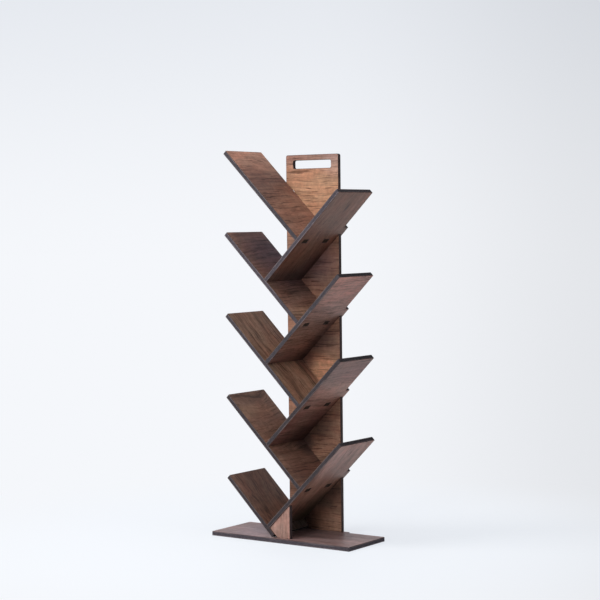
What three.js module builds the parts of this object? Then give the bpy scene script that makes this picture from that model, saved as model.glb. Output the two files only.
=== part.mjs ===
// Zigzag bookshelf. Flat boards lean left and right in turn, each one tenoned through the next and
// hooked into a tall back panel. A wide base plate carries the panel, and a small support in front
// holds up the lowest bend. Every piece is cut square from one thickness of laminated board.
// Millimetres, +Z up, front towards -Y. The origin is on the floor, under the middle of the object.

import * as THREE from 'three';

// Stock and fits
const boardThickness = 12;
const fitGap = 0.3;

// Zigzag, seen from the front
const pitch = 230;
const leftBoardCount = 5;
const rightBoardCount = leftBoardCount - 1;
const overhang = 184;
const zigzagOffset = 9;
const lowestBendHeight = 34.2;
const slopeAngle = Math.PI / 4;

// Depth, from the base plate's front edge to the back
const boardSetback = 12;
const boardDepth = 170;
const hookStandOff = 8;

// Board tenons and the mortises that take them
const tenonWidth = 25;
const frontTenonInset = 30.5;
const rearTenonInset = 39.5;
const tenonRecess = 1.5;
const mortiseSlack = 2.5;

// Hooks on the boards' rear edges. Their necks end so far past the bend above them.
const neckPastBend = 16;
const hookReach = 14;
const rightHookOverlap = 18.5;
const leftSlotMargin = 10;

// Back panel. Its top lies a little below the corner of the highest board.
const panelWidth = 180;
const panelDrop = 12;
const panelCornerRadius = 5.5;
const handSlotWidth = 130;
const handSlotHeight = 23.4;
const handSlotInset = 15.8;
const handSlotRadius = 5;
const footTenonWidth = 100;

// Base plate
const baseWidth = 470;
const baseEarOverlap = 18.5;

// Front support
const supportReach = 29;
const supportInset = 2;
const supportTenonWidth = 25;

// Rounded corners of the boards' free ends and of the base plate
const sheetCornerRadius = 3;
const cornerSteps = 5;

const walnutFace = { color: 0x8a6250, roughness: 0.55, metalness: 0 };
const walnutShade = { color: 0x7c5a4b, roughness: 0.55, metalness: 0 };
const walnutWarm = { color: 0x976d5c, roughness: 0.5, metalness: 0 };

// Places that follow from the sizes above
const alongShare = Math.cos(slopeAngle);
const riseShare = Math.sin(slopeAngle);
const bendShift = pitch / 4;
const bendRise = pitch / 2;
const boardRun = bendRise / riseShare;
const boardRear = boardSetback + boardDepth - fitGap;
const panelFront = boardSetback + boardDepth;
const panelBack = panelFront + boardThickness;
const hookBack = panelBack + hookStandOff;
const lowestBendZ = boardThickness + lowestBendHeight;
const panelBottom = boardThickness + fitGap;
const highestCornerZ = lowestBendZ + (leftBoardCount - 1) * pitch + overhang * riseShare;
const panelTop = highestCornerZ - panelDrop;
const hookNeckEnd = overhang + neckPastBend;

// A board's place: its upper end's top corner, and the way it runs down from there, left or right.
function leftBoardPlace(index) {
  const bendZ = lowestBendZ + (leftBoardCount - 1 - index) * pitch;
  return {
    x: zigzagOffset - bendShift - overhang * alongShare,
    z: bendZ + overhang * riseShare,
    side: 1,
  };
}

function rightBoardPlace(index) {
  const bendZ = lowestBendZ + (rightBoardCount - 1 - index) * pitch + bendRise;
  return {
    x: zigzagOffset + bendShift + overhang * alongShare,
    z: bendZ + overhang * riseShare,
    side: -1,
  };
}

// The point in the front view that lies so far along a board from its upper end, and so far above
// its top face. A point inside the board has a negative height.
function pointOnBoard(place, along, above) {
  return [
    place.x + place.side * (along * alongShare + above * riseShare),
    place.z - along * riseShare + above * alongShare,
  ];
}

// The point where a line parallel to a board's top face, so far above it, crosses a vertical line.
function boardLineAtX(place, above, x) {
  const [startX, startZ] = pointOnBoard(place, 0, above);
  return [x, startZ - (x - startX) * place.side * (riseShare / alongShare)];
}

// How far along a board its underside, or a line so far below it, crosses a vertical line.
function alongUndersideAtX(place, clearance, x) {
  const shift = place.side * (boardThickness + clearance) * riseShare;
  return (place.side * (x - place.x + shift)) / alongShare;
}

// The point where a line parallel to a board's top face, so far above it, crosses a level line.
function boardLineAtZ(place, above, z) {
  const [startX, startZ] = pointOnBoard(place, 0, above);
  return [startX + (startZ - z) * place.side * (alongShare / riseShare), z];
}

// A quarter circle of points, from one angle to a quarter turn further.
function cornerArc(centreU, centreV, radius, startAngle) {
  const points = [];
  for (let step = 0; step <= cornerSteps; step += 1) {
    const angle = startAngle + (step / cornerSteps) * (Math.PI / 2);
    points.push([centreU + radius * Math.cos(angle), centreV + radius * Math.sin(angle)]);
  }
  return points;
}

// A rectangle with its four corners rounded, counter-clockwise from the lower right corner.
function roundedRectangle(left, right, bottom, top, radius) {
  return [
    ...cornerArc(right - radius, bottom + radius, radius, -Math.PI / 2),
    ...cornerArc(right - radius, top - radius, radius, 0),
    ...cornerArc(left + radius, top - radius, radius, Math.PI / 2),
    ...cornerArc(left + radius, bottom + radius, radius, Math.PI),
  ];
}

// A piece of the sheet: an outline with holes, cut square through the board's thickness.
function cutSheet(name, outline, holes, finish) {
  const toVectors = (points) => points.map(([u, v]) => new THREE.Vector2(u, v));
  const shape = new THREE.Shape(toVectors(outline));
  shape.holes = holes.map((hole) => new THREE.Path(toVectors(hole)));
  const geometry = new THREE.ExtrudeGeometry(shape, { depth: boardThickness, bevelEnabled: false });
  const mesh = new THREE.Mesh(geometry, new THREE.MeshStandardMaterial(finish));
  mesh.name = name;
  return mesh;
}

// Front edges of the two tenons, and of the mortises that take them.
const tenonStarts = [
  boardSetback + frontTenonInset - tenonWidth / 2,
  boardSetback + boardDepth - rearTenonInset - tenonWidth / 2,
];

// Outline of a board in its own plane: first value along the board from its upper end, second value
// in depth. The lower end may have two tenons, and the rear edge has a hook whose neck passes the
// back panel and whose prong reaches on behind it.
function boardOutline(length, hookStart, hasTenons) {
  const tenonEnd = length + fitGap + boardThickness - tenonRecess;
  const radius = sheetCornerRadius;
  const points = [
    ...cornerArc(radius, boardSetback + radius, radius, Math.PI),
    [length, boardSetback],
  ];
  if (hasTenons) {
    for (const start of tenonStarts) {
      points.push([length, start], [tenonEnd, start]);
      points.push([tenonEnd, start + tenonWidth], [length, start + tenonWidth]);
    }
  }
  points.push([length, boardRear], [hookNeckEnd, boardRear]);
  points.push([hookNeckEnd, panelBack + fitGap], [hookNeckEnd + hookReach, panelBack + fitGap]);
  points.push([hookNeckEnd + hookReach, hookBack], [hookStart, hookBack]);
  points.push([hookStart, boardRear]);
  points.push(...cornerArc(radius, boardRear - radius, radius, Math.PI / 2));
  return points;
}

// Two mortises just below the line where the next board up stops on this one.
function boardMortises() {
  const upper = overhang - mortiseSlack;
  const lower = overhang + boardThickness + fitGap;
  return tenonStarts.map((start) => [
    [upper, start - fitGap],
    [lower, start - fitGap],
    [lower, start + tenonWidth + fitGap],
    [upper, start + tenonWidth + fitGap],
  ]);
}

// A right hook's underside corner stands out past the panel's right edge.
const rightHookStart = alongUndersideAtX(rightBoardPlace(0), 0, panelWidth / 2 + rightHookOverlap);

// A left board's slot starts a margin inside the panel's left edge, one prong's length above the
// neck, so that the hook goes in there and slides down until the prong grips behind the panel.
const leftSlotStart = alongUndersideAtX(leftBoardPlace(0), fitGap, leftSlotMargin - panelWidth / 2);
const leftHookStart = leftSlotStart + fitGap + hookReach;

// A board that leans down to the right. The top one carries nothing, so it has no mortises, and the
// lowest one is cut short, where its lower corner meets the base plate.
function leftBoard(index) {
  const isLowest = index === leftBoardCount - 1;
  const footRun = (lowestBendHeight - fitGap) / riseShare - boardThickness;
  const length = isLowest ? overhang + footRun : overhang + boardRun - fitGap;
  const mortises = index === 0 ? [] : boardMortises();
  const outline = boardOutline(length, leftHookStart, !isLowest);
  const mesh = cutSheet(`left_board_${index + 1}`, outline, mortises, walnutFace);
  const place = leftBoardPlace(index);
  mesh.geometry.translate(0, 0, -boardThickness);
  mesh.rotation.y = slopeAngle;
  mesh.position.set(place.x, 0, place.z);
  return mesh;
}

// A board that leans down to the left, carried by the left board below it.
function rightBoard(index) {
  const length = overhang + boardRun - fitGap;
  const outline = boardOutline(length, rightHookStart, true);
  const mesh = cutSheet(`right_board_${index + 1}`, outline, boardMortises(), walnutShade);
  const place = rightBoardPlace(index);
  mesh.rotation.y = Math.PI - slopeAngle;
  mesh.position.set(place.x, 0, place.z);
  return mesh;
}

// An open notch in the panel's right edge for a right board's hook, from the lower corner up.
function panelNotch(place) {
  const below = -boardThickness - fitGap;
  return [
    boardLineAtX(place, below, panelWidth / 2),
    pointOnBoard(place, hookNeckEnd + fitGap, below),
    pointOnBoard(place, hookNeckEnd + fitGap, fitGap),
    boardLineAtX(place, fitGap, panelWidth / 2),
  ];
}

// A closed slot for a left board's hook.
function panelSlot(place) {
  const lower = hookNeckEnd + fitGap;
  const below = -boardThickness - fitGap;
  return [
    pointOnBoard(place, leftSlotStart, fitGap),
    pointOnBoard(place, leftSlotStart, below),
    pointOnBoard(place, lower, below),
    pointOnBoard(place, lower, fitGap),
  ];
}

// The tall panel: hand slot and rounded corners at the top, a foot tenon at the bottom.
function backPanel() {
  const halfWidth = panelWidth / 2;
  const halfFoot = footTenonWidth / 2;
  const radius = panelCornerRadius;
  const outline = [
    [-halfWidth, panelBottom],
    [-halfFoot, panelBottom],
    [-halfFoot, 0],
    [halfFoot, 0],
    [halfFoot, panelBottom],
    [halfWidth, panelBottom],
  ];
  for (let index = rightBoardCount - 1; index >= 0; index -= 1) {
    outline.push(...panelNotch(rightBoardPlace(index)));
  }
  outline.push(...cornerArc(halfWidth - radius, panelTop - radius, radius, 0));
  outline.push(...cornerArc(radius - halfWidth, panelTop - radius, radius, Math.PI / 2));
  const slotTop = panelTop - handSlotInset;
  const slotBottom = slotTop - handSlotHeight;
  const halfSlot = handSlotWidth / 2;
  const holes = [roundedRectangle(-halfSlot, halfSlot, slotBottom, slotTop, handSlotRadius)];
  for (let index = 0; index < leftBoardCount; index += 1) {
    holes.push(panelSlot(leftBoardPlace(index)));
  }
  const mesh = cutSheet('back_panel', outline, holes, walnutWarm);
  mesh.rotation.x = Math.PI / 2;
  mesh.position.y = panelBack;
  return mesh;
}

const supportPlace = leftBoardPlace(leftBoardCount - 1);
const supportFoot = boardLineAtZ(supportPlace, fitGap, panelBottom)[0];
const supportTenonStart = (supportFoot + supportReach - supportTenonWidth) / 2;
const supportFront = boardSetback + supportInset;

// The base plate: two ears behind its rear edge carry the panel's shoulders, with a notch between
// them for the foot tenon, and a mortise near the front takes the support's tenon.
function basePlate() {
  const halfWidth = baseWidth / 2;
  const earOuter = panelWidth / 2 + baseEarOverlap;
  const earInner = footTenonWidth / 2 + fitGap;
  const radius = sheetCornerRadius;
  const outline = [
    ...cornerArc(radius - halfWidth, radius, radius, Math.PI),
    ...cornerArc(halfWidth - radius, radius, radius, -Math.PI / 2),
    ...cornerArc(halfWidth - radius, panelFront - radius, radius, 0),
    [earOuter, panelFront],
    [earOuter, panelBack],
    [earInner, panelBack],
    [earInner, panelFront - fitGap],
    [-earInner, panelFront - fitGap],
    [-earInner, panelBack],
    [-earOuter, panelBack],
    [-earOuter, panelFront],
    ...cornerArc(radius - halfWidth, panelFront - radius, radius, Math.PI / 2),
  ];
  const mortise = [
    [supportTenonStart - fitGap, supportFront - fitGap],
    [supportTenonStart + supportTenonWidth + fitGap, supportFront - fitGap],
    [supportTenonStart + supportTenonWidth + fitGap, supportFront + boardThickness + fitGap],
    [supportTenonStart - fitGap, supportFront + boardThickness + fitGap],
  ];
  return cutSheet('base_plate', outline, [mortise], walnutWarm);
}

// The support fills the corner between the base plate, the lowest left board and the underside of
// the lowest right board, and stands in the base plate on a tenon.
function frontSupport() {
  const lowestRight = rightBoardPlace(rightBoardCount - 1);
  const underRight = -boardThickness - fitGap;
  const bendAlong = overhang + boardRun - fitGap;
  const outline = [
    [supportFoot, panelBottom],
    [supportTenonStart, panelBottom],
    [supportTenonStart, 0],
    [supportTenonStart + supportTenonWidth, 0],
    [supportTenonStart + supportTenonWidth, panelBottom],
    [supportReach, panelBottom],
    boardLineAtX(lowestRight, underRight, supportReach),
    pointOnBoard(lowestRight, bendAlong, underRight),
  ];
  const mesh = cutSheet('front_support', outline, [], walnutFace);
  mesh.rotation.x = Math.PI / 2;
  mesh.position.y = supportFront + boardThickness;
  return mesh;
}

const bookshelf = new THREE.Group();
bookshelf.add(basePlate(), backPanel(), frontSupport());
for (let index = 0; index < leftBoardCount; index += 1) {
  bookshelf.add(leftBoard(index));
}
for (let index = 0; index < rightBoardCount; index += 1) {
  bookshelf.add(rightBoard(index));
}
bookshelf.position.y = -hookBack / 2;

const group = new THREE.Group();
group.add(bookshelf);

export default group;
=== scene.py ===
"""Zigzag bookshelf in walnut-print board, on a pale studio floor. Metres, +Z up, front towards -Y.

Every piece is a sheet: it takes its outline from its CAD node, and gets worn corners, a dark cut edge
between two printed faces, and the grain of the print.
"""
import math

import bpy
import numpy as np
from mathutils import Matrix, Vector
from mathutils.geometry import tessellate_polygon


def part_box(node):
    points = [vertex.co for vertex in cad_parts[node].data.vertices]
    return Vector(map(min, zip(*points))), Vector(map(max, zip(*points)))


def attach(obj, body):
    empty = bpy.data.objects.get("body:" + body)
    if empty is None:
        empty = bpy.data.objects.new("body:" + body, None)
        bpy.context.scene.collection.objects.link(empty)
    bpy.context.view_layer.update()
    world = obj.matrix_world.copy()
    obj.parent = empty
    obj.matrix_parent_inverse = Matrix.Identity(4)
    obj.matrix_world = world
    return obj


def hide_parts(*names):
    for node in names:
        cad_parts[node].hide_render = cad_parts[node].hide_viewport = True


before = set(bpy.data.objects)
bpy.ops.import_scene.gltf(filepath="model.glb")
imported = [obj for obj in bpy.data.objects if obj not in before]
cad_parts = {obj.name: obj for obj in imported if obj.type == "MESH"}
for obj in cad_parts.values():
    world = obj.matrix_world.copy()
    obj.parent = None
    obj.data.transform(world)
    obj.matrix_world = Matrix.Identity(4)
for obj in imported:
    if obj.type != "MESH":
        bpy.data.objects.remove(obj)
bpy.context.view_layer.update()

# Camera, as the photograph was taken
camera_position = (2.8012, -3.9743, 0.8957)
camera_azimuth = math.radians(35.074)
camera_pitch = math.radians(2.614)
camera_roll = math.radians(-0.603)
camera_lens = 103.78
camera_sensor = 36.0
camera_reach = 50.0
camera_distance = 4.9

# Lamps
lamp_target = 0.6
lamp_distance = 3.6
lamps = [
    # name, azimuth, elevation, size, power, leaves highlights
    ("key_softbox", -45.0, 45.0, 1.5, 75.0, True),
    ("front_softbox", 0.0, 12.0, 1.5, 48.0, False),
    ("front_right_softbox", 45.0, 45.0, 1.5, 8.0, True),
    ("right_softbox", 90.0, 45.0, 1.5, 12.5, True),
    ("top_softbox", 0.0, 90.0, 1.5, 36.0, True),
    ("rear_softbox", -150.0, 12.0, 1.8, 51.0, False),
]
ambient_strength = 0.045
ambient_tint = "f4f6ff"

# Backdrop. Its turn is how far right a direction points, and its rise is how far up.
rightward = (math.cos(camera_azimuth), math.sin(camera_azimuth), 0.0)
backdrop_left = "f5f7fb"
backdrop_right = "e3e5e9"
backdrop_turn = 0.2
backdrop_lofty = "ebedf0"
lofty_rise = (-0.03, 0.2)
backdrop_overhead = "8d919b"
overhead_rise = (0.2, 0.5)

# Floor. It fades into the backdrop between two distances from the shelf's middle.
floor_half_width = 60.0
floor_paint = "cecdcc"
floor_roughness = 0.9
floor_glow = "d2d7de"
floor_glow_share = 0.55
floor_fade = (0.45, 1.3)

# Sheet stock. Corners that lie in a joint are hardly worn. A wall faces a way when its outward
# direction has more than the facing limit of it.
board_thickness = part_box("base_plate")[1].z
panel_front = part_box("back_panel")[0].y
arris_radius = 0.0007
arris_steps = 4
arris_margin = 0.0003
joint_arris_share = 0.15
joint_hole_size = 0.12
joint_reach = 0.001
smooth_limit = math.radians(34)
facing_limit = 0.7
weld_decimals = 5
print_shift = (0.83, 0.47)

# Directions in a sheet: along it, across it. Their cross product points out of its first face.
x_axis = np.array((1.0, 0.0, 0.0))
y_axis = np.array((0.0, 1.0, 0.0))
z_axis = np.array((0.0, 0.0, 1.0))
down_right = (x_axis - z_axis) / math.sqrt(2)
down_left = (-x_axis - z_axis) / math.sqrt(2)

sheet_pieces = [
    # node, along, across, grain runs, looks of long edges, of first end and of the rest, material slot
    ("base_plate", x_axis, y_axis, "along", ("pale_edge", "dark_end", "pale_end"), "base_board"),
    ("back_panel", x_axis, z_axis, "along", ("side_end", "side_end", "side_end"), "panel_board"),
    ("front_support", x_axis, z_axis, "across", ("side_end", "side_end", "side_end"), "support_board"),
    ("left_board_1", down_right, y_axis, "across", ("mid_edge", "mid_edge", "tenon_end"), "left_boards"),
    ("left_board_2", down_right, y_axis, "across", ("pale_edge", "mid_edge", "tenon_end"), "left_boards"),
    ("left_board_3", down_right, y_axis, "along", ("mid_edge", "mid_edge", "tenon_end"), "left_boards"),
    ("left_board_4", down_right, y_axis, "across", ("dark_edge", "dark_edge", "tenon_end"), "left_boards"),
    ("left_board_5", down_right, y_axis, "along", ("dark_edge", "dark_edge", "painted_highlight_end"), "left_boards"),
    ("right_board_1", down_left, y_axis, "along", ("pale_edge", "dark_end", "dark_end"), "right_boards"),
    ("right_board_2", down_left, y_axis, "across", ("mid_edge", "dark_end", "dark_end"), "right_boards"),
    ("right_board_3", down_left, y_axis, "across", ("dark_edge", "dark_end", "dark_end"), "right_boards"),
    ("right_board_4", down_left, y_axis, "along", ("dark_edge", "dark_end", "dark_end"), "right_boards"),
]

edge_looks = {
    # look: core, fibres, pale rims (painted highlight and wear), how strong the rims are, gloss
    "pale_edge": ("3e3940", "5c545a", "8f8388", 1.0, 0.3),
    "mid_edge": ("363338", "524b50", "877a7c", 1.0, 0.3),
    "dark_edge": ("302b2f", "484043", "7c6e6d", 1.0, 0.3),
    "pale_end": ("4b464d", "6c676f", "978689", 0.8, 0.12),
    "side_end": ("3f3637", "5f5353", "857477", 0.8, 0.12),
    "dark_end": ("2f2b2d", "484246", "857477", 0.7, 0.12),
    # L5's lower end: its very pale, strong rim is a painted highlight, a line of light along the end
    "painted_highlight_end": ("302d31", "48444a", "c9c2b0", 1.4, 0.12),
    "tenon_end": ("2a2018", "3d3024", "4a3a2c", 0.3, 0.12),
}

# Each patch is painted shade where it darkens (corners, pockets, under boards) and painted light and sheen
# where it lightens
sheet_prints = {
    # node: light tone, dark tone, line tone, strength of bands, streaks and figure, painted light and shade
    "base_plate": ("a88b88", "523d3b", "32221e", 0.6, 0.5, 1.0, [
        ((0.185, 0.155), (0.25, 0.125), (0.54, 0.54, 0.56)),
        ((0.21, 0.19), (0.08, 0.06), (0.7, 0.72, 0.75)),
        ((0.115, 0.115), (0.11, 0.25), (1.2, 1.26, 1.4)),
    ]),
    "back_panel": ("b58b75", "4d3228", "331a10", 0.5, 0.85, 0.45, [
        ((0.1, 0.955), (0.25, 0.185), (1.55, 1.53, 1.35)),
        ((0.05, 1.09), (0.2, 0.06), (0.8, 0.8, 0.95)),
        ((0.17, 1.06), (0.07, 0.06), (1.1, 1.25, 1.5)),
        ((0.09, 0.79), (0.13, 0.12), (0.64, 0.67, 0.9)),
        ((0.1, 0.565), (0.105, 0.08), (0.5, 0.5, 0.58)),
        ((0.12, 0.455), (0.1, 0.1), (1.9, 1.8, 1.6)),
        ((0.06, 0.5), (0.05, 0.05), (0.6, 0.58, 0.65)),
        ((0.1, 0.32), (0.08, 0.075), (0.47, 0.46, 0.49)),
        ((0.06, 0.265), (0.04, 0.05), (0.4, 0.42, 0.5)),
        ((0.1, 0.13), (0.16, 0.105), (0.3, 0.32, 0.36)),
        ((0.05, 0.05), (0.05, 0.09), (0.35, 0.38, 0.45)),
    ]),
    "front_support": ("c1988b", "715246", "452d26", 0.5, 0.5, 0.5, []),
    "left_board_1": ("bc8c77", "4e332a", "26140e", 0.6, 0.85, 0.7, [
        ((0.01, 0.12), (0.06, 0.28), (1.5, 1.5, 1.5)),
        ((0.145, 0.1), (0.08, 0.3), (0.54, 0.55, 0.58)),
        ((0.285, 0.085), (0.075, 0.3), (0.66, 0.67, 0.69)),
    ]),
    "left_board_2": ("aa8474", "45312b", "18100c", 0.6, 0.7, 0.6, [
        ((0.115, 0.13), (0.17, 0.17), (0.58, 0.66, 1.0)),
        ((0.215, 0.18), (0.04, 0.11), (0.65, 0.62, 0.6)),
        ((0.33, 0.07), (0.06, 0.1), (1.4, 1.5, 1.35)),
    ]),
    "left_board_3": ("bf9a82", "50382c", "1d120b", 0.75, 0.8, 1.3, [
        ((0.31, -0.02), (0.12, 0.12), (0.68, 0.6, 0.56)),
        ((0.17, 0.153), (0.14, 0.037), (0.68, 0.6, 0.65)),
    ]),
    "left_board_4": ("a27e6d", "39261d", "150d08", 0.6, 0.65, 1.2, [
        ((0.07, -0.02), (0.035, 0.29), (1.5, 1.5, 1.4)),
        ((0.205, 0.168), (0.12, 0.07), (0.56, 0.57, 0.66)),
        ((0.305, 0.09), (0.055, 0.14), (0.77, 0.7, 0.71)),
    ]),
    "left_board_5": ("8a6a5c", "38271f", "170f0a", 0.6, 0.75, 1.6, [
        ((0.035, 0.024), (0.087, 0.032), (1.4, 1.35, 1.35)),
        ((0.215, 0.14), (0.06, 0.14), (0.62, 0.78, 0.9)),
    ]),
    "right_board_1": ("906757", "3f2921", "190d0b", 0.5, 0.5, 1.4, [
        ((0.31, 0.18), (0.12, 0.18), (0.52, 0.6, 0.75)),
        ((0.345, 0.08), (0.07, 0.3), (0.7, 0.92, 1.1)),
        ((0.03, 0.15), (0.14, 0.05), (1.35, 1.4, 1.5)),
        ((0.27, 0.1), (0.13, 0.065), (1.3, 1.5, 1.5)),
        ((0.058, 0.101), (0.026, 0.009), (0.45, 0.45, 0.45)),
        ((0.042, 0.09), (0.02, 0.006), (0.6, 0.6, 0.6)),
    ]),
    "right_board_2": ("b68879", "4d332b", "1e110e", 0.6, 0.8, 0.9, [
        ((-0.03, 0.16), (0.24, 0.3), (1.7, 1.5, 1.6)),
        ((0.33, 0.17), (0.26, 0.07), (0.4, 0.43, 0.48)),
        ((0.24, 0.08), (0.13, 0.3), (0.84, 0.9, 0.9)),
        ((0.33, 0.01), (0.065, 0.3), (0.7, 0.75, 0.82)),
    ]),
    "right_board_3": ("9c7168", "3e2824", "1a0e0d", 0.6, 0.7, 0.9, [
        ((0.33, 0.185), (0.14, 0.22), (0.38, 0.42, 0.45)),
        ((0.14, 0.12), (0.11, 0.19), (1.5, 1.5, 1.35)),
        ((0.065, 0.15), (0.055, 0.12), (1.3, 1.3, 1.4)),
        ((0.27, 0.2), (0.13, 0.06), (0.6, 0.65, 0.65)),
        ((0.28, 0.08), (0.09, 0.06), (1.15, 1.25, 1.2)),
    ]),
    "right_board_4": ("a97c6c", "452c24", "1c110d", 0.6, 0.55, 1.2, [
        ((0.33, 0.18), (0.2, 0.17), (0.25, 0.36, 0.34)),
        ((0.22, 0.2), (0.12, 0.06), (0.65, 0.75, 0.75)),
        ((0.12, 0.11), (0.07, 0.1), (0.84, 0.78, 0.75)),
        ((-0.04, -0.01), (0.23, 0.3), (1.45, 1.5, 1.7)),
    ]),
}

# Noises of the print and of the cut edge, drawn out along the grain
noises = {
    # noise: features a metre across the grain and along it, detail, roughness, seed
    "drift": (7.0, 3.5, 1.0, 0.5, 1.7),
    "ripple": (34.0, 20.0, 1.0, 0.5, 4.1),
    "broad_bands": (22.0, 4.0, 2.0, 0.5, 2.3),
    "narrow_bands": (75.0, 8.0, 3.0, 0.6, 3.1),
    "drawn_lines": (190.0, 8.0, 2.0, 0.55, 8.3),
    "thin_lines": (310.0, 20.0, 2.0, 0.5, 6.9),
    "gathering": (40.0, 7.0, 2.0, 0.5, 7.4),
    "pores": (1300.0, 80.0, 2.0, 0.6, 5.2),
    "cast": (30.0, 12.0, 2.0, 0.6, 6.2),
    "curl": (50.0, 80.0, 3.0, 0.7, 9.4),
    "rim_width": (300.0, 60.0, 3.0, 0.6, 1.3),
    "rim_highlight_and_wear": (20.0, 9.0, 3.0, 0.6, 2.9),
    "fibres": (900.0, 140.0, 3.0, 0.7, 7.7),
}

curves = {
    # curve: the stretch of a value that it eases, and what it gives at both ends of that stretch
    "broad_bands": (0.34, 0.66, 0.0, 1.0),
    "narrow_bands": (0.36, 0.66, 0.0, 1.0),
    "dark_lines": (0.36, 0.4, 0.75, 0.0),
    "thin_lines": (0.39, 0.42, 0.8, 0.0),
    "gathering": (0.36, 0.6, 0.35, 1.0),
    "pale_lines": (0.55, 0.64, 0.0, 1.0),
    "pores": (0.52, 0.74, 0.0, 1.0),
    "cast": (0.3, 0.7, 0.0, 1.0),
    "curl": (0.3, 0.7, 0.87, 1.14),
    "patch": (0.2, 1.0, 1.0, 0.0),
    "rim_width": (0.3, 0.7, 0.0008, 0.0016),
    "rim": (0.5, 1.1, 1.0, 0.0),
    "rim_highlight_and_wear": (0.38, 0.6, 0.1, 1.3),
    "fibres": (0.35, 0.7, 0.0, 1.0),
    "fibre_roughness": (0.0, 1.0, 0.75, 0.6),
    "skin": (0.0007, 0.0013, 1.0, 0.0),
}

# Printed faces
drift_reach = 0.07
ripple_reach = 0.012
noise_middle = 0.5
broad_share = 0.55
pale_share = 0.65
pore_share = 0.35
reddish_cast = (1.05, 0.975, 0.96, 1.0)
olive_cast = (0.96, 1.02, 1.03, 1.0)
print_roughness = 0.43
sunk_roughness = 0.1
pore_relief = 0.5
print_gloss = 0.3
print_bump = {"Strength": 0.2, "Distance": 0.00012}
# How far a patch of painted light and shade reaches out of the first face
shading_patch_depth = 0.01

# Cut edges
skin_depth = 0.001
edge_skin = "4b3e3b"
edge_bump = {"Strength": 0.3, "Distance": 0.0002}


def cut_loops(node, along, across):
    """The closed outlines of a sheet, read from its CAD node.

    Points are (along, across) in the sheet's plane. The material lies to the left of each loop, so
    the outer outline turns anticlockwise and each hole clockwise. Also gives the heights of the two
    faces. A side wall is a triangle with corners on both faces, and the edge that it has on the
    first face is one step of an outline, taken backwards.
    """
    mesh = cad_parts[node].data
    points = np.zeros(len(mesh.vertices) * 3, np.float32)
    mesh.vertices.foreach_get("co", points)
    mesh.calc_loop_triangles()
    corners = np.zeros(len(mesh.loop_triangles) * 3, np.int32)
    mesh.loop_triangles.foreach_get("vertices", corners)
    points = points.reshape(-1, 3).round(weld_decimals)
    merged, index = np.unique(points, axis=0, return_inverse=True)
    triangles = index.reshape(-1)[corners.reshape(-1, 3)]
    flat = merged @ np.stack([along, across, np.cross(along, across)], axis=1)
    height = flat[:, 2]
    first_face = height > (height.min() + height.max()) / 2
    on_face = first_face[triangles]
    walls = triangles[on_face.any(1) & ~on_face.all(1)]
    steps = np.concatenate([walls[:, (0, 1)], walls[:, (1, 2)], walls[:, (2, 0)]])
    steps = steps[first_face[steps].all(1)]
    following = {end: start for start, end in steps.tolist()}
    loops = []
    while following:
        start = next(iter(following))
        loop = [start]
        while following[loop[-1]] != start:
            loop.append(following.pop(loop[-1]))
        following.pop(loop[-1])
        loops.append(flat[loop, :2])
    loops.sort(key=lambda loop: -np.ptp(loop, axis=0).sum())
    return loops, height.min(), height.max()


def edge_profile():
    """Rows of (inset, height) across a sheet's cut edge, from its first face down to its second.

    A quarter circle rounds each corner, and one more row lies a margin beyond each of its ends, on
    the face and on the straight edge.
    """
    angle = np.linspace(0, math.pi / 2, arris_steps)
    inset = arris_radius * (1 - np.sin(angle))
    drop = arris_radius * (1 - np.cos(angle))
    upper = np.stack([inset, board_thickness - drop], axis=1)
    start = (arris_radius + arris_margin, board_thickness)
    straight = (0.0, board_thickness - arris_radius - arris_margin)
    upper = np.vstack([start, upper, straight])
    lower = upper[::-1] * (1, -1) + (0, board_thickness)
    return np.vstack([upper, lower])


def loop_normals(loop):
    """For each edge of a loop, the direction a quarter turn left of it, which points into the board."""
    ahead = np.roll(loop, -1, axis=0) - loop
    ahead /= np.linalg.norm(ahead, axis=1, keepdims=True)
    return np.stack([-ahead[:, 1], ahead[:, 0]], axis=1)


def inset_loop(loop, distance):
    """A loop moved into the material: each point goes along the mitre of its two edges' normals."""
    normal = loop_normals(loop)
    before = np.roll(normal, 1, axis=0)
    mitre = (normal + before) / (1 + (normal * before).sum(1, keepdims=True))
    return loop + mitre * distance


def arris_shares(loop, along, across):
    """The share of the full arris that each point of a loop gets.

    It is small in a joint, where nothing wears it. A small hole holds a tenon or a neck, and a
    board's rear edge lies against the panel's front.
    """
    in_joint = np.ptp(loop, axis=0).sum() < joint_hole_size
    depth = loop @ np.array((along[1], across[1]))
    against_panel = np.abs(depth - panel_front) < joint_reach
    return np.where(in_joint | against_panel, joint_arris_share, 1.0)


def wall_rows(loop, along, across):
    """The edge profile at each point of a loop: rows of places in the plane, and rows of heights.

    Both its inset and its drop from the nearer face are multiplied by the point's share of the arris.
    """
    share = arris_shares(loop, along, across)
    profile = edge_profile()
    rows = np.stack([inset_loop(loop, inset * share[:, None]) for inset, _ in profile])
    height = profile[:, 1, None]
    upper = board_thickness - (board_thickness - height) * share
    return rows, np.where(height > board_thickness / 2, upper, height * share)


def wall_map(loop, height, begin):
    """The walls' map: the distance round the outline, and the height through the board."""
    length = np.linalg.norm(np.roll(loop, -1, axis=0) - loop, axis=1)
    left = np.concatenate([[0.0], np.cumsum(length)[:-1]]) + begin
    left = np.broadcast_to(left, height[1:].shape)
    right = left + length
    ahead = np.roll(height, -1, axis=1)
    corners = [left, height[:-1], left, height[1:], right, ahead[1:], right, ahead[:-1]]
    return np.stack(corners, axis=-1).reshape(-1, 2)


def wall_kinds(loop, strips):
    """The material of each wall: 1 on the long edges, 2 at the end where the sheet begins, else 3.

    The two printed faces have material 0.
    """
    outward = -loop_normals(loop)
    on_long_edge = np.abs(outward[:, 1]) > facing_limit
    at_first_end = outward[:, 0] < -facing_limit
    return np.tile(np.select([on_long_edge, at_first_end], [1, 2], 3), strips)


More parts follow.
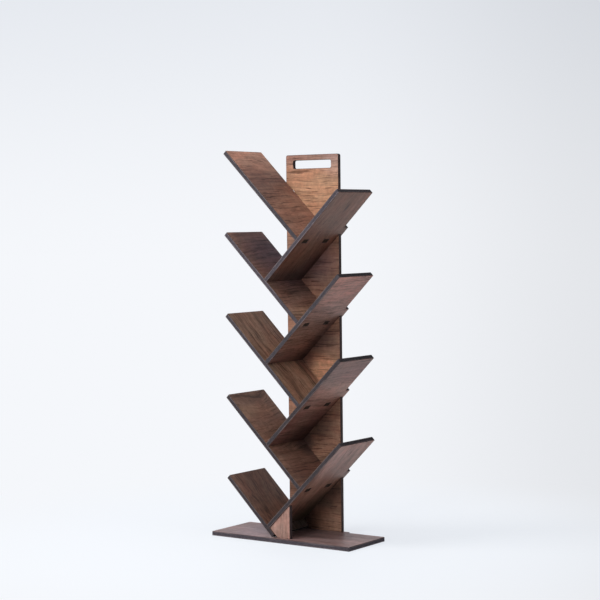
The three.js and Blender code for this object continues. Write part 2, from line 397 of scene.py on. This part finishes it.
def face_triangles(rims, turn):
    """Triangles that fill a face between its rims, anticlockwise in the plane for a turn of 1.

    Each rim is its points' numbers and places. Gives the triangles as numbers, and their places.
    """
    numbers = np.concatenate([number for number, _ in rims])
    places = np.concatenate([place for _, place in rims])
    triangles = np.array(tessellate_polygon([[Vector((*p, 0)) for p in place] for _, place in rims]))
    a, b, c = (places[triangles[:, k]] for k in range(3))
    area = (b - a)[:, 0] * (c - a)[:, 1] - (b - a)[:, 1] * (c - a)[:, 0]
    backward = area * turn < 0
    triangles[backward] = triangles[backward][:, ::-1]
    return numbers[triangles], places[triangles.reshape(-1)]


def sheet_mesh(node, along, across, grain, seed):
    """A sheet as a mesh: its edge profile carried round each outline, and two flat faces.

    The faces' map holds the place in the sheet's plane in metres, grain first, and the walls' map
    holds the distance round the outline and the height through the board. The seed shifts both, so
    that no two faces carry the same stretch of the print. Also gives the corner of the first face
    where both of its places are least.
    """
    loops, low, high = cut_loops(node, along, across)
    facing = np.cross(along, across)
    vertices, faces, maps, kinds = [], [], [], []
    rims = [[], []]
    base = 0
    for loop in loops:
        rows, height = wall_rows(loop, along, across)
        rise = (height + low)[..., None]
        vertices.append(rows[..., :1] * along + rows[..., 1:] * across + rise * facing)
        here = base + np.arange(height.size).reshape(height.shape)
        ahead = np.roll(here, -1, axis=1)
        quads = np.stack([here[:-1], here[1:], ahead[1:], ahead[:-1]], axis=-1)
        faces.extend(quads.reshape(-1, 4).tolist())
        maps.append(wall_map(loop, height, seed))
        kinds.append(wall_kinds(loop, len(height) - 1))
        for rim, row in zip(rims, (0, -1)):
            rim.append((here[row], rows[row]))
        base += height.size
    order = (0, 1) if grain == "along" else (1, 0)
    for side, (rim, turn) in enumerate(zip(rims, (1, -1))):
        triangles, places = face_triangles(rim, turn)
        faces.extend(triangles.tolist())
        maps.append(places[:, order] + np.array(print_shift) * (2 * seed + side))
        kinds.append(np.zeros(len(triangles)))
    points = np.concatenate([v.reshape(-1, 3) for v in vertices])
    mesh = bpy.data.meshes.new(node + "_sheet")
    mesh.from_pydata(points.tolist(), [], faces)
    layer = mesh.uv_layers.new(name="sheet_map")
    layer.data.foreach_set("uv", np.concatenate(maps).astype(np.float32).ravel())
    kinds = np.concatenate(kinds).astype(np.int32)
    mesh.polygons.foreach_set("material_index", kinds)
    mesh.polygons.foreach_set("use_smooth", kinds > 0)
    mesh.set_sharp_from_angle(angle=smooth_limit)
    mesh.update()
    return mesh, (*loops[0].min(axis=0), high)


def colour(text):
    """A written sRGB colour such as 8a6250 as the linear colour that a shader takes, by sRGB's curve."""
    values = np.array([int(text[k:k + 2], 16) for k in (0, 2, 4)]) / 255
    linear = np.where(values > 0.04045, ((values + 0.055) / 1.055) ** 2.4, values / 12.92)
    return (*linear.tolist(), 1.0)


def add(tree, kind, inputs=(), **settings):
    """A node in a tree, with its settings, and with its inputs set to values or linked to sockets."""
    node = tree.nodes.new(kind)
    for name, value in settings.items():
        setattr(node, name, value)
    for name, value in dict(inputs).items():
        if isinstance(value, bpy.types.NodeSocket):
            tree.links.new(value, node.inputs[name])
        else:
            node.inputs[name].default_value = value
    return node


def math_node(tree, operation, first, second):
    """One step of arithmetic on two numbers or sockets."""
    return add(tree, "ShaderNodeMath", {0: first, 1: second}, operation=operation).outputs[0]


def vector_node(tree, operation, *values):
    """One step of arithmetic on vectors or sockets. A dot product or a length is a number."""
    node = add(tree, "ShaderNodeVectorMath", enumerate(values), operation=operation)
    return node.outputs["Value" if operation in ("DOT_PRODUCT", "LENGTH") else "Vector"]


def remap(tree, value, low, high, to_low=0.0, to_high=1.0):
    """A value's stretch from low to high, eased, as a number from to_low to to_high."""
    inputs = {"Value": value, "From Min": low, "From Max": high, "To Min": to_low, "To Max": to_high}
    return add(tree, "ShaderNodeMapRange", inputs, interpolation_type="SMOOTHSTEP").outputs["Result"]


def blend(tree, factor, first, second, blend_type="MIX"):
    """Two colours mixed by a factor."""
    inputs = {0: factor, 6: first, 7: second}
    return add(tree, "ShaderNodeMix", inputs, data_type="RGBA", blend_type=blend_type).outputs[2]


def stretched_noise(tree, name, across, along):
    """One of the noises, drawn out along the grain: so many features a metre across it and along it."""
    across_scale, along_scale, detail, roughness, seed = noises[name]
    x = math_node(tree, "MULTIPLY", along, along_scale)
    y = math_node(tree, "MULTIPLY", across, across_scale)
    place = add(tree, "ShaderNodeCombineXYZ", {"X": x, "Y": y, "Z": seed}).outputs[0]
    inputs = {"Vector": place, "Scale": 1.0, "Detail": detail, "Roughness": roughness}
    return add(tree, "ShaderNodeTexNoise", inputs).outputs[0]


def curved_noise(tree, name, across, along):
    """One of the noises, through the curve of the same name."""
    return remap(tree, stretched_noise(tree, name, across, along), *curves[name])


def sway(tree, name, across, along, reach):
    """A noise as a distance either way, in metres."""
    noise = math_node(tree, "SUBTRACT", stretched_noise(tree, name, across, along), noise_middle)
    return math_node(tree, "MULTIPLY", noise, reach)


def group_tree(name, inputs, outputs):
    """A shader node group with named sockets. Gives its tree, its input node and its output node."""
    tree = bpy.data.node_groups.new(name, "ShaderNodeTree")
    for direction, sockets in (("INPUT", inputs), ("OUTPUT", outputs)):
        for socket, kind in sockets.items():
            tree.interface.new_socket(name=socket, in_out=direction, socket_type="NodeSocket" + kind)
    return tree, tree.nodes.new("NodeGroupInput"), tree.nodes.new("NodeGroupOutput")


def walnut_print_group():
    """The printed walnut grain, read from a place in the sheet in metres, grain first.

    The grain wanders, so the place across it is shifted by two wide noises, more on a figured sheet.
    On that, broad growth bands and narrow ones go from the light tone to the dark one. Dark lines
    lie where a drawn-out noise or a thinner one is low, and gather where a wider noise is high. Pale
    lines lie where the drawn-out noise is high, and fine pores lie over them all. The colour's cast
    goes between a reddish and an olive one, and a faint curl crosses the grain. Lines and pores are
    rougher than the rest and sink a little.
    """
    tree, source, result = group_tree(
        "walnut_print",
        {
            "Place": "Vector",
            "Light": "Color",
            "Dark": "Color",
            "Line": "Color",
            "Bands": "Float",
            "Streaks": "Float",
            "Figure": "Float",
        },
        {"Color": "Color", "Roughness": "Float", "Height": "Float"},
    )
    given = source.outputs
    place = add(tree, "ShaderNodeSeparateXYZ", {0: given["Place"]})
    along, across = place.outputs[0], place.outputs[1]
    drift = sway(tree, "drift", across, along, drift_reach)
    ripple = sway(tree, "ripple", across, along, ripple_reach)
    shift = math_node(tree, "MULTIPLY", math_node(tree, "ADD", drift, ripple), given["Figure"])
    bent = math_node(tree, "ADD", across, shift)

    broad = math_node(tree, "MULTIPLY", curved_noise(tree, "broad_bands", bent, along), broad_share)
    narrow = math_node(tree, "MULTIPLY", curved_noise(tree, "narrow_bands", bent, along), 1 - broad_share)
    dusk = math_node(tree, "MULTIPLY", math_node(tree, "ADD", broad, narrow), given["Bands"])
    banded = blend(tree, dusk, given["Light"], given["Dark"])

    drawn = stretched_noise(tree, "drawn_lines", bent, along)
    thin = curved_noise(tree, "thin_lines", bent, along)
    lines = math_node(tree, "MAXIMUM", remap(tree, drawn, *curves["dark_lines"]), thin)
    gathered = math_node(tree, "MULTIPLY", lines, curved_noise(tree, "gathering", bent, along))
    streak = math_node(tree, "MULTIPLY", gathered, given["Streaks"])
    lined = blend(tree, streak, banded, given["Line"])
    pale = math_node(tree, "MULTIPLY", remap(tree, drawn, *curves["pale_lines"]), given["Streaks"])
    lined = blend(tree, math_node(tree, "MULTIPLY", pale, pale_share), lined, given["Light"])

    pores = curved_noise(tree, "pores", bent, along)
    pored = blend(tree, math_node(tree, "MULTIPLY", pores, pore_share), lined, given["Line"])

    cast = blend(tree, curved_noise(tree, "cast", bent, along), reddish_cast, olive_cast)
    tinted = blend(tree, 1.0, pored, cast, "MULTIPLY")
    curl = curved_noise(tree, "curl", across, along)
    curled = add(tree, "ShaderNodeVectorMath", {0: tinted, "Scale": curl}, operation="SCALE").outputs[0]
    tree.links.new(curled, result.inputs["Color"])
    marked = math_node(tree, "MULTIPLY", math_node(tree, "ADD", pores, streak), sunk_roughness)
    tree.links.new(math_node(tree, "ADD", print_roughness, marked), result.inputs["Roughness"])
    sunk = math_node(tree, "ADD", math_node(tree, "MULTIPLY", pores, pore_relief), streak)
    tree.links.new(math_node(tree, "SUBTRACT", 1.0, sunk), result.inputs["Height"])
    return tree


def place_in_sheet(tree, along, across):
    """The shaded point's place along a sheet, across it and out of its first face."""
    spot = add(tree, "ShaderNodeTexCoord").outputs["Object"]
    directions = (along, across, np.cross(along, across))
    parts = [vector_node(tree, "DOT_PRODUCT", spot, tuple(direction)) for direction in directions]
    return add(tree, "ShaderNodeCombineXYZ", enumerate(parts)).outputs[0]


def paint_shading_patch(tree, shade, spot, centre, half_widths, tint):
    """A colour with a soft oval patch, where it is multiplied by a tint: painted shade below 1, painted
    light above 1.

    The place from the patch's centre is divided by its half widths, so its length is 1 on the rim.
    """
    away = vector_node(tree, "DIVIDE", vector_node(tree, "SUBTRACT", spot, centre), half_widths)
    strength = remap(tree, vector_node(tree, "LENGTH", away), *curves["patch"])
    return blend(tree, strength, shade, (*tint, 1.0), "MULTIPLY")


def walnut_material(
    node, print_tree, along, across, corner, light, dark, line, bands, streaks, figure, shading_patches
):
    """A printed walnut face with the satin film that protects it.

    A patch is a soft oval on the first face where the colour is multiplied by a tint, as painted shade
    where it darkens and painted light where it lightens: its middle and half widths in the sheet's
    plane, from the corner where both are least, and the tint.
    """
    material = bpy.data.materials.new(node + "_walnut")
    material.use_nodes = True
    tree = material.node_tree
    shader = tree.nodes["Principled BSDF"]
    tones = {
        "Place": add(tree, "ShaderNodeUVMap", uv_map="sheet_map").outputs[0],
        "Light": colour(light),
        "Dark": colour(dark),
        "Line": colour(line),
        "Bands": bands,
        "Streaks": streaks,
        "Figure": figure,
    }
    grain = add(tree, "ShaderNodeGroup", tones, node_tree=print_tree)
    spot = place_in_sheet(tree, along, across)
    shade = grain.outputs["Color"]
    # Painted shade and painted light, one oval after another
    for middle, reach, tint in shading_patches:
        centre = (corner[0] + middle[0], corner[1] + middle[1], corner[2])
        shade = paint_shading_patch(tree, shade, spot, centre, (*reach, shading_patch_depth), tint)
    bump = add(tree, "ShaderNodeBump", {"Height": grain.outputs["Height"], **print_bump})
    tree.links.new(shade, shader.inputs["Base Color"])
    tree.links.new(grain.outputs["Roughness"], shader.inputs["Roughness"])
    tree.links.new(bump.outputs[0], shader.inputs["Normal"])
    shader.inputs["Specular IOR Level"].default_value = print_gloss
    return material


def cut_edge_group():
    """The look of a cut edge: the print's brown skin, a paler rim inside it, and a dark core.

    The place is the distance round the outline and the height through the board, so the nearer
    face's distance gives skin and rim. Noise along the edge makes the rim uneven and faint in
    places, and draws fibres in the core. The pale rim is partly wear and partly a painted
    highlight along the rounded corner.
    """
    tree, source, result = group_tree(
        "cut_edge_look",
        {
            "Place": "Vector",
            "Core": "Color",
            "Fibre": "Color",
            "Rim": "Color",
            "Skin": "Color",
            "Highlight And Wear": "Float",
        },
        {"Color": "Color", "Roughness": "Float", "Height": "Float"},
    )
    given = source.outputs
    place = add(tree, "ShaderNodeSeparateXYZ", {0: given["Place"]})
    round_edge, height = place.outputs[0], place.outputs[1]
    to_face = math_node(tree, "MINIMUM", height, math_node(tree, "SUBTRACT", board_thickness, height))
    to_skin = math_node(tree, "SUBTRACT", to_face, skin_depth)
    # The pale rim: painted highlight along the rounded corner, and wear, uneven along the edge
    rim_width = curved_noise(tree, "rim_width", height, round_edge)
    rim = remap(tree, math_node(tree, "DIVIDE", to_skin, rim_width), *curves["rim"])
    rim = math_node(tree, "MULTIPLY", rim, curved_noise(tree, "rim_highlight_and_wear", height, round_edge))
    rim = math_node(tree, "MULTIPLY", rim, given["Highlight And Wear"])
    fibres = curved_noise(tree, "fibres", height, round_edge)
    core = blend(tree, fibres, given["Core"], given["Fibre"])
    rimmed_core = blend(tree, rim, core, given["Rim"])
    skin = remap(tree, to_face, *curves["skin"])
    tree.links.new(blend(tree, skin, rimmed_core, given["Skin"]), result.inputs["Color"])
    tree.links.new(remap(tree, fibres, *curves["fibre_roughness"]), result.inputs["Roughness"])
    tree.links.new(fibres, result.inputs["Height"])
    return tree


def cut_edge_material(name, edge_look_tree, core, fibre, rim, highlight_and_wear, gloss):
    """A cut edge of the board in its own tones."""
    material = bpy.data.materials.new(name)
    material.use_nodes = True
    tree = material.node_tree
    shader = tree.nodes["Principled BSDF"]
    tones = {
        "Place": add(tree, "ShaderNodeUVMap", uv_map="sheet_map").outputs[0],
        "Core": colour(core),
        "Fibre": colour(fibre),
        "Rim": colour(rim),
        "Skin": colour(edge_skin),
        "Highlight And Wear": highlight_and_wear,
    }
    edge = add(tree, "ShaderNodeGroup", tones, node_tree=edge_look_tree)
    bump = add(tree, "ShaderNodeBump", {"Height": edge.outputs["Height"], **edge_bump})
    tree.links.new(edge.outputs["Color"], shader.inputs["Base Color"])
    tree.links.new(edge.outputs["Roughness"], shader.inputs["Roughness"])
    tree.links.new(bump.outputs[0], shader.inputs["Normal"])
    shader.inputs["Specular IOR Level"].default_value = gloss
    return material


def background_rays(tree):
    """One where the camera sees a surface straight, in a reflection or through glass, else zero."""
    paths = add(tree, "ShaderNodeLightPath")
    seen = math_node(tree, "MAXIMUM", paths.outputs["Is Camera Ray"], paths.outputs["Is Glossy Ray"])
    return math_node(tree, "MAXIMUM", seen, paths.outputs["Is Transmission Ray"])


def side_fade(tree, turn):
    """The backdrop's left colour going over to its right one as the view turns right."""
    return blend(tree, remap(tree, turn, 0.0, backdrop_turn), colour(backdrop_left), colour(backdrop_right))


def floor_material():
    """A matt pale floor that takes shadows. Where the camera sees it, a glow takes over a share of it.

    The share is the floor's own near the shelf, and grows to all of it at the far end of the fade.
    There the glow is the backdrop's colour, with the turn that a point of the floor has for the camera.
    """
    material = bpy.data.materials.new("floor_paint")
    material.use_nodes = True
    tree = material.node_tree
    shader = tree.nodes["Principled BSDF"]
    spot = add(tree, "ShaderNodeTexCoord").outputs["Object"]
    away = vector_node(tree, "LENGTH", spot)
    aside = vector_node(tree, "DOT_PRODUCT", spot, rightward)
    turn = math_node(tree, "DIVIDE", aside, math_node(tree, "ADD", away, camera_distance))
    seen = background_rays(tree)
    unlit = math_node(tree, "MULTIPLY", remap(tree, away, *floor_fade, floor_glow_share, 1.0), seen)
    black = (0.0, 0.0, 0.0, 1.0)
    tree.links.new(blend(tree, unlit, colour(floor_paint), black), shader.inputs["Base Color"])
    glowing = blend(tree, remap(tree, away, *floor_fade), colour(floor_glow), side_fade(tree, turn))
    tree.links.new(glowing, shader.inputs["Emission Color"])
    tree.links.new(seen, shader.inputs["Emission Strength"])
    shader.inputs["Roughness"].default_value = floor_roughness
    shader.inputs["Specular IOR Level"].default_value = 0.0
    return material


def make_camera():
    """The camera at the photograph's place, turned by its azimuth, pitch and roll."""
    data = bpy.data.cameras.new("camera")
    data.lens = camera_lens
    data.sensor_width = camera_sensor
    data.clip_end = camera_reach
    camera = bpy.data.objects.new("camera", data)
    bpy.context.scene.collection.objects.link(camera)
    turn = Matrix.Rotation(camera_azimuth, 4, "Z") @ Matrix.Rotation(math.pi / 2 - camera_pitch, 4, "X")
    camera.matrix_world = Matrix.Translation(camera_position) @ turn @ Matrix.Rotation(camera_roll, 4, "Z")
    bpy.context.scene.camera = camera


def make_lamp(name, azimuth, elevation, size, power, glossy):
    """A square soft box, a studio's distance from the shelf's middle and facing it.

    Azimuth 0 is in front of the shelf, and turns towards the right. Both angles are in degrees. A
    lamp that isn't glossy leaves no highlight.
    """
    data = bpy.data.lights.new(name, "AREA")
    data.size = size
    data.energy = power
    turn, rise = math.radians(azimuth), math.radians(elevation)
    outward = Vector((math.sin(turn) * math.cos(rise), -math.cos(turn) * math.cos(rise), math.sin(rise)))
    lamp = bpy.data.objects.new(name, data)
    lamp.location = Vector((0, 0, lamp_target)) + outward * lamp_distance
    lamp.rotation_mode = "QUATERNION"
    lamp.rotation_quaternion = outward.to_track_quat("Z", "Y")
    lamp.visible_glossy = glossy
    bpy.context.scene.collection.objects.link(lamp)


def make_world():
    """Even light from all round, and a pale backdrop where the camera looks past the floor.

    The backdrop goes from its left colour to its right one with the turn of the view's direction.
    With its rise it is multiplied by the lofty tint, and then goes to the dimmer colour overhead.
    """
    world = bpy.data.worlds.new("studio")
    world.use_nodes = True
    bpy.context.scene.world = world
    tree = world.node_tree
    background = tree.nodes["Background"]
    direction = add(tree, "ShaderNodeTexCoord").outputs["Generated"]
    fade = side_fade(tree, vector_node(tree, "DOT_PRODUCT", direction, rightward))
    rise = add(tree, "ShaderNodeSeparateXYZ", {0: direction}).outputs[2]
    fade = blend(tree, remap(tree, rise, *lofty_rise), fade, colour(backdrop_lofty), "MULTIPLY")
    fade = blend(tree, remap(tree, rise, *overhead_rise), fade, colour(backdrop_overhead))
    seen = background_rays(tree)
    tree.links.new(blend(tree, seen, colour(ambient_tint), fade), background.inputs["Color"])
    strength = add(tree, "ShaderNodeMapRange", {"Value": seen, "To Min": ambient_strength, "To Max": 1.0})
    tree.links.new(strength.outputs["Result"], background.inputs["Strength"])


def make_floor():
    """A flat square floor under the base plate."""
    mesh = bpy.data.meshes.new("floor")
    signs = ((-1, -1), (1, -1), (1, 1), (-1, 1))
    corners = [(x * floor_half_width, y * floor_half_width, 0.0) for x, y in signs]
    mesh.from_pydata(corners, [], [(0, 1, 2, 3)])
    mesh.materials.append(floor_material())
    floor = bpy.data.objects.new("floor", mesh)
    bpy.context.scene.collection.objects.link(floor)


make_camera()
make_world()
for lamp in lamps:
    make_lamp(*lamp)
make_floor()

grain_print = walnut_print_group()
edge_look_group = cut_edge_group()
edges = {look: cut_edge_material(look, edge_look_group, *tones) for look, tones in edge_looks.items()}

for number, (node, along, across, grain, looks, slot) in enumerate(sheet_pieces):
    mesh, corner = sheet_mesh(node, along, across, grain, number + 1)
    mesh.materials.append(walnut_material(node, grain_print, along, across, corner, *sheet_prints[node]))
    for look in looks:
        mesh.materials.append(edges[look])
    piece = bpy.data.objects.new(node + "_board", mesh)
    bpy.context.scene.collection.objects.link(piece)
    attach(piece, "root")
    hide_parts(node)

scene = bpy.context.scene
scene.view_settings.view_transform = "Standard"
